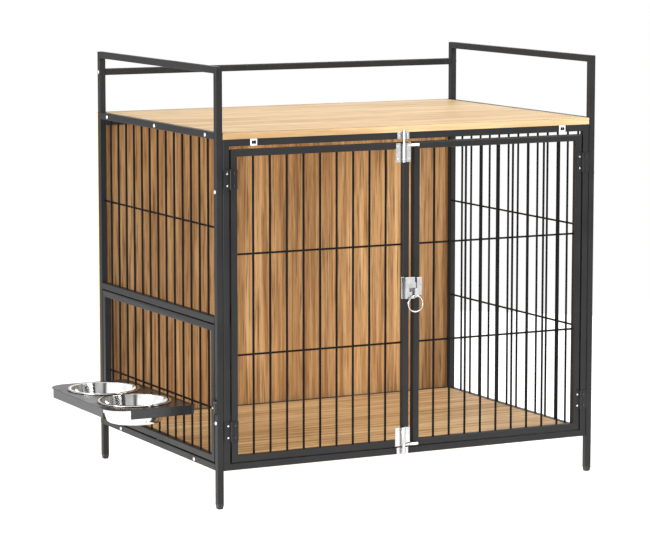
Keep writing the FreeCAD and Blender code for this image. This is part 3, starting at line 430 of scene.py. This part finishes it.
def solids(name):
    """The lowest and highest corner of each separate solid of a node."""
    bm = bmesh.new()
    bm.from_mesh(nodes[name].data)
    bmesh.ops.remove_doubles(bm, verts=bm.verts, dist=1e-6)
    seen, boxes = set(), []
    for start in bm.verts:
        if start in seen:
            continue
        seen.add(start)
        group = [start]
        for vert in group:
            for edge in vert.link_edges:
                other = edge.other_vert(vert)
                if other not in seen:
                    seen.add(other)
                    group.append(other)
        boxes.append((Vector([min(v.co[i] for v in group) for i in range(3)]),
                      Vector([max(v.co[i] for v in group) for i in range(3)])))
    bm.free()
    return boxes


def join_to(piece, name):
    """The piece moves with a node."""
    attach(piece, nodes[name]["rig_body"])


def stand_for(piece, name):
    """The piece takes the place of a node."""
    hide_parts(name)
    join_to(piece, name)


# ---------------------------------------------------------------- softened edges
def soften(names, width, steps=2):
    """Round the edges of nodes as the real tube, sheet and board have them."""
    for name in names:
        weld = nodes[name].modifiers.new("weld", "WELD")
        weld.merge_threshold = 1e-5
        bevel = nodes[name].modifiers.new("soft_edges", "BEVEL")
        bevel.width = width
        bevel.segments = steps
        bevel.limit_method = "ANGLE"
        bevel.angle_limit = math.radians(40)
        bevel.harden_normals = True


def soften_nodes():
    """Rounded corners on tubes, sheet edges, boards and moulded pieces."""
    soften([name for name in nodes if has_word(name, TUBES) and name != "rail_clips"],
           width=0.0011, steps=3)
    soften([name for name in nodes if has_word(name, SHEETS)], width=0.0004)
    soften(BOARDS, width=0.0006)
    soften(["feeder_tray", "feeder_turn_button", "feet"], width=0.0006)


# ---------------------------------------------------------------- fittings
SHEET = 0.0012        # thickness of the sheet of the barrel bolts and the latch
BOLT_HEAD = 0.003     # height of a carriage bolt's head
LEAF_FACE = 0.003     # how far the hinge leaves' outer face stands in front of the doors
GLUE = 0.0002         # how far a rivet or screw head reaches into its sheet


def make_side_bolts():
    """Carriage bolts: domed heads on a shank that runs into the tube."""
    shank, rim = 0.0025, 0.0006
    bm = bmesh.new()
    for low, high in solids("side_bolts"):
        seat = (low + high) / 2
        side = 1 if seat.x > 0 else -1
        seat.x = (high.x if side > 0 else low.x) - side * BOLT_HEAD
        radius, length = (high.y - low.y) / 2, high.x - low.x - BOLT_HEAD
        outline = [(0, -length), (shank, -length), (shank, 0.0), (radius, 0.0)]
        outline += [(r, z + rim) for r, z in dome(radius, BOLT_HEAD - rim)]
        lathe(bm, outline, seat, turned_to((side, 0, 0)), steps=32)
    stand_for(to_object(bm, "side_bolt_heads", zinc_plate), "side_bolts")


def pan_head(bm, spot, turn, radius, height):
    """A screw's head: a short upright side under a dome."""
    side = height * 0.35
    outline = [(0, -GLUE), (radius, -GLUE), (radius, side)]
    outline += [(r, side + z) for r, z in dome(radius * 0.96, height - side)]
    lathe(bm, outline, spot, turn, steps=32)


def make_panel_screws():
    """Pan-head screws that hold the back panel, each with a dark cross of painted shade standing
    for its cross recess.
    """
    arm, half_width, half_depth, sunk = 0.0019, 0.0005, 0.0003, 0.0001
    heads, cross_shades = bmesh.new(), bmesh.new()
    for low, high in solids("back_panel_screws"):
        seat = Vector(((low.x + high.x) / 2, low.y, (low.z + high.z) / 2))
        height = (high.y - low.y) * 0.9
        pan_head(heads, seat, turned_to((0, 1, 0)), (high.x - low.x) / 2, height)
        top = seat + Vector((0, height - sunk, 0))
        # Two dark thin boxes on each head: painted shade of the cross recess.
        for half_x, half_z in ((arm, half_width), (half_width, arm)):
            half = Vector((half_x, half_depth, half_z))
            rounded_box(cross_shades, top - half, top + half, radius=0.0002, steps=1)
    stand_for(to_object(heads, "back_panel_screw_heads", black_plastic), "back_panel_screws")
    join_to(to_object(cross_shades, "back_panel_screw_cross_shades", bar_coat), "back_panel_screws")


def make_hinge_screws():
    """Two nearly flush countersunk screws in each hinge leaf, so that the leaves still fold.

    Those to the left of a pin take a bright finish as a painted highlight, and those to its right
    a dark copy as painted shade; the real screws are all alike.
    """
    from_end, from_side = 0.009, 0.0085
    radius, proud = 0.0023, 0.0002
    outline = [(0, -GLUE), (radius, -GLUE)] + dome(radius, proud, steps=3)
    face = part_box("left_door_frame")[0].y - LEAF_FACE
    pins = [(low.x + high.x) / 2 for low, high in solids("hinge_pins")]
    for name in ("frame_hinge_leaves", "left_door_hinge_leaves", "right_door_hinge_leaves"):
        painted_glint_heads, painted_shade_heads = bmesh.new(), bmesh.new()
        for low, high in solids(name):
            pin = min(pins, key=lambda x: abs(x - low.x))
            is_left = pin - low.x > high.x - pin
            x = low.x + from_side if is_left else high.x - from_side
            for z in (low.z + from_end, high.z - from_end):
                # Painted highlight on the screws left of a pin, painted shade on those right of
                # it.
                lathe(painted_glint_heads if is_left else painted_shade_heads, outline, Vector((x, face, z)),
                      turned_to((0, -1, 0)), steps=24)
        screws = name.replace("leaves", "screws")
        if painted_glint_heads.verts:
            join_to(to_object(painted_glint_heads, screws + "_painted_glint", bright_plate), name)
        if painted_shade_heads.verts:
            join_to(to_object(painted_shade_heads, screws + "_painted_shade", painted_shade_screw), name)


def make_bolt(name, knob_up):
    """A barrel bolt's rod with rounded ends, and its handle with a knob.

    knob_up is how far the handle sits above the rod's lower end.
    """
    low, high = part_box(name)
    rod, stem, knob, rounding = 0.00325, 0.0021, 0.0038, 0.0012
    stem_end, knob_start = 0.014, 0.0175
    spot = Vector((low.x + rod, (low.y + high.y) / 2, 0))
    bm = bmesh.new()
    outline = [(0, low.z)] + arc(rod - rounding, low.z + rounding, rounding, -90, 0, 4)
    outline += arc(rod - rounding, high.z - rounding, rounding, 0, 90, 4) + [(0, high.z)]
    lathe(bm, outline, spot, steps=32)
    spot.z = low.z + knob_up
    reach = high.x - spot.x
    outline = [(0, 0), (stem, 0), (stem, stem_end)]
    outline += arc(knob - rounding, knob_start, rounding, -60, 0, 4)
    outline += arc(knob - rounding, reach - rounding, rounding, 0, 90, 4) + [(0, reach)]
    lathe(bm, outline, spot, turned_to((1, 0, 0)), steps=32)
    stand_for(to_object(bm, name + "_rod", bright_plate), name)


def make_rivets():
    """Domed rivets at the corners of the barrel bolts' sheets. Short sheets have one row."""
    radius, height, from_side, from_end, short = 0.0019, 0.0007, 0.0045, 0.007, 0.02
    outline = [(0, -GLUE), (radius, -GLUE)] + dome(radius, height, steps=5)
    for name in ("top_bolt_housing", "bottom_bolt_housing", "top_bolt_keeper",
                 "bottom_bolt_keeper"):
        low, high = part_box(name)
        rows = (low.z + from_end, high.z - from_end)
        if high.z - low.z < short:
            rows = ((low.z + high.z) / 2,)
        bm = bmesh.new()
        for x in (low.x + from_side, high.x - from_side):
            for z in rows:
                spot = Vector((x, high.y - SHEET, z))
                lathe(bm, outline, spot, turned_to((0, -1, 0)), steps=24)
        join_to(to_object(bm, name + "_rivets", zinc_plate), name)


def make_ring():
    """The latch's round pull ring."""
    low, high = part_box("latch_ring")
    wire = (high.y - low.y) / 2
    outline = arc((high.x - low.x) / 2 - wire, 0, wire, 0, 360, 16)
    bm = bmesh.new()
    lathe(bm, outline, (low + high) / 2, turned_to((0, -1, 0)))
    stand_for(to_object(bm, "latch_pull_ring", bright_plate), "latch_ring")


def make_clips():
    """White clips on the front rail, each with two dark solids side by side that paint the shade
    of its two slots.
    """
    proud, inside, from_middle, half_width, half_height = 0.0004, 0.001, 0.0026, 0.0025, 0.0036
    plates, slot_shades = bmesh.new(), bmesh.new()
    for low, high in solids("rail_clips"):
        rounded_box(plates, low + Vector((0, proud, 0)), high, radius=0.0007)
        middle = (low + high) / 2
        # Dark solids in the two slots: painted shade of the slots.
        for side in (-1, 1):
            x = middle.x + side * from_middle
            rounded_box(slot_shades, Vector((x - half_width, low.y, middle.z - half_height)),
                        Vector((x + half_width, high.y - inside, middle.z + half_height)),
                        radius=0.0006)
    stand_for(to_object(plates, "rail_clip_plates", clip_finish), "rail_clips")
    join_to(to_object(slot_shades, "rail_clip_slot_shades", bar_coat), "rail_clips")


def make_latch_slot_shade():
    """A dark sheet on the flange of the latch's cover: painted shade standing for a slot."""
    low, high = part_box("latch_housing")
    face = high.y - SHEET
    from_side, width, from_top, length = 0.0014, 0.0020, 0.002, 0.010
    proud, sunk = 0.0001, 0.0006
    corner = Vector((low.x + from_side, face - proud, high.z - from_top - length))
    # The dark sheet paints the shade of a slot; no slot is cut.
    bm = bmesh.new()
    rounded_box(bm, corner, corner + Vector((width, proud + sunk, length)), radius=0.0004)
    join_to(to_object(bm, "latch_flange_slot_shade", bar_coat), "latch_housing")


def make_fittings():
    make_side_bolts()
    make_panel_screws()
    make_hinge_screws()
    make_bolt("top_bolt", knob_up=0.0308)
    make_bolt("bottom_bolt", knob_up=0.0342)
    make_rivets()
    make_ring()
    make_clips()
    make_latch_slot_shade()


# ---------------------------------------------------------------- bowls
def bowl_outline(rim, low, high):
    """A spun bowl's (radius, height) points, from the base up the outside and down the inside.

    corner rounds the foot, bead and lip round the rim, and the base is dished inside stand.
    """
    sheet, bead, lip = 0.0008, 0.0014, 0.0012
    foot, corner, wall = 0.0630, 0.009, 0.0737
    dish, dish_edge, stand = 0.0015, 0.030, 0.033
    below_rim, above_corner = 0.003, 0.001
    points = [(0.0, low + dish), (dish_edge, low + dish), (stand, low)]
    points += arc(foot - corner, low + corner, corner, -90, -12, 8)
    points += [(wall, high - below_rim)]
    points += arc(rim - bead, high - bead, bead, -90, 90, 10)
    points += arc(wall + lip / 2, high - lip, lip, 90, 170, 5)
    points += [(foot - sheet / 2, low + corner + above_corner)]
    points += arc(foot - corner, low + corner + sheet / 2, corner - sheet, -12, -90, 8)
    points += [(stand, low + sheet), (dish_edge, low + dish + sheet), (0.0, low + dish + sheet)]
    return points


def make_bowls():
    """Spun steel bowls: a rolled rim, a straight flared wall and a rounded foot."""
    for name in ("bowl_front", "bowl_rear"):
        low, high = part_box(name)
        centre = Vector(((low.x + high.x) / 2, (low.y + high.y) / 2, 0))
        bm = bmesh.new()
        lathe(bm, bowl_outline((high.x - low.x) / 2, low.z, high.z), centre, steps=128)
        piece = to_object(bm, name + "_spun", bowl_steel)
        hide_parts(name)
        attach(piece, name)


# ---------------------------------------------------------------- stage, light and camera
def make_stage():
    """A plain pale floor that glows a little, so the contact shadow stays soft."""
    radius, glow = 2.6, 0.9
    bm = bmesh.new()
    lathe(bm, [(0.0, 0.0), (radius, 0.0)], Vector((0, 0, 0)), steps=96)
    t = new_material("pale_floor")
    tint = t.noise(t.place(), scale=3, detail=2)
    t.set(Base_Color=t.ramp(tint, [(0.3, (0.50, 0.50, 0.50)), (0.7, (0.52, 0.52, 0.52))]),
          Roughness=0.9, Specular_IOR_Level=0.0,
          Emission_Color=(1, 1, 1, 1), Emission_Strength=glow)
    floor = to_object(bm, "studio_floor", t.owner, smooth=False)


def make_world():
    """A white backdrop. Surfaces are lit and mirrored by a room with bright and dark walls."""
    world = bpy.data.worlds.new("studio")
    bpy.context.scene.world = world
    t = Tree(world)
    t.tree.nodes.clear()
    facing = t.add("ShaderNodeTexCoord").outputs["Generated"]
    sideways = t.add("ShaderNodeSeparateXYZ", {"Vector": facing}).outputs["X"]
    walls = t.ramp(t.span(sideways, 0.0, 1.0, from_low=-1.0),
                   [(position, [level] * 3) for position, level in ROOM_WALLS])
    room = t.add("ShaderNodeBackground", {"Color": walls, "Strength": ROOM_STRENGTH})
    backdrop = t.add("ShaderNodeBackground", {"Color": (1, 1, 1, 1)})
    seen = t.add("ShaderNodeLightPath").outputs["Is Camera Ray"]
    either = t.add("ShaderNodeMixShader", {0: seen, 1: room.outputs[0], 2: backdrop.outputs[0]})
    t.add("ShaderNodeOutputWorld", {"Surface": either.outputs[0]})


def aim(thing, spot, direction):
    """Put a light or camera at a spot and turn it towards a direction."""
    thing.location = spot
    thing.rotation_euler = direction.to_track_quat("-Z", "Y").to_euler()


def area_light(name, spot, target, width, height, power):
    data = bpy.data.lights.new(name, "AREA")
    data.shape = "RECTANGLE"
    data.size, data.size_y, data.energy = width, height, power
    light = bpy.data.objects.new(name, data)
    bpy.context.scene.collection.objects.link(light)
    aim(light, spot, Vector(target) - Vector(spot))


def make_light():
    area_light("key", (-5.0, -1.6, 1.0), (0, 0, 0.5), width=3.0, height=1.8, power=178)
    area_light("high", (2.2, -3.0, 2.6), (0.2, 0, 0.0), width=3.0, height=1.6, power=115)
    area_light("top", (0.0, -0.3, 4.5), (0, 0, 0.5), width=3.0, height=3.0, power=60)


def make_camera():
    """The photograph's viewing angle."""
    yaw, pitch = math.radians(CAMERA_YAW), math.radians(CAMERA_PITCH)
    data = bpy.data.cameras.new("camera")
    data.sensor_fit = "HORIZONTAL"
    data.sensor_width = SENSOR_WIDTH
    data.lens = FOCAL_LENGTH / PHOTO_WIDTH * SENSOR_WIDTH
    data.clip_end = 100
    camera = bpy.data.objects.new("camera", data)
    bpy.context.scene.collection.objects.link(camera)
    aim(camera, CAMERA_SPOT, Vector((math.sin(yaw) * math.cos(pitch),
                                     math.cos(yaw) * math.cos(pitch), -math.sin(pitch))))
    bpy.context.scene.camera = camera


dress_nodes()
soften_nodes()
make_fittings()
make_bowls()
make_stage()
make_world()
make_light()
make_camera()
bpy.context.scene.view_settings.view_transform = "Standard"
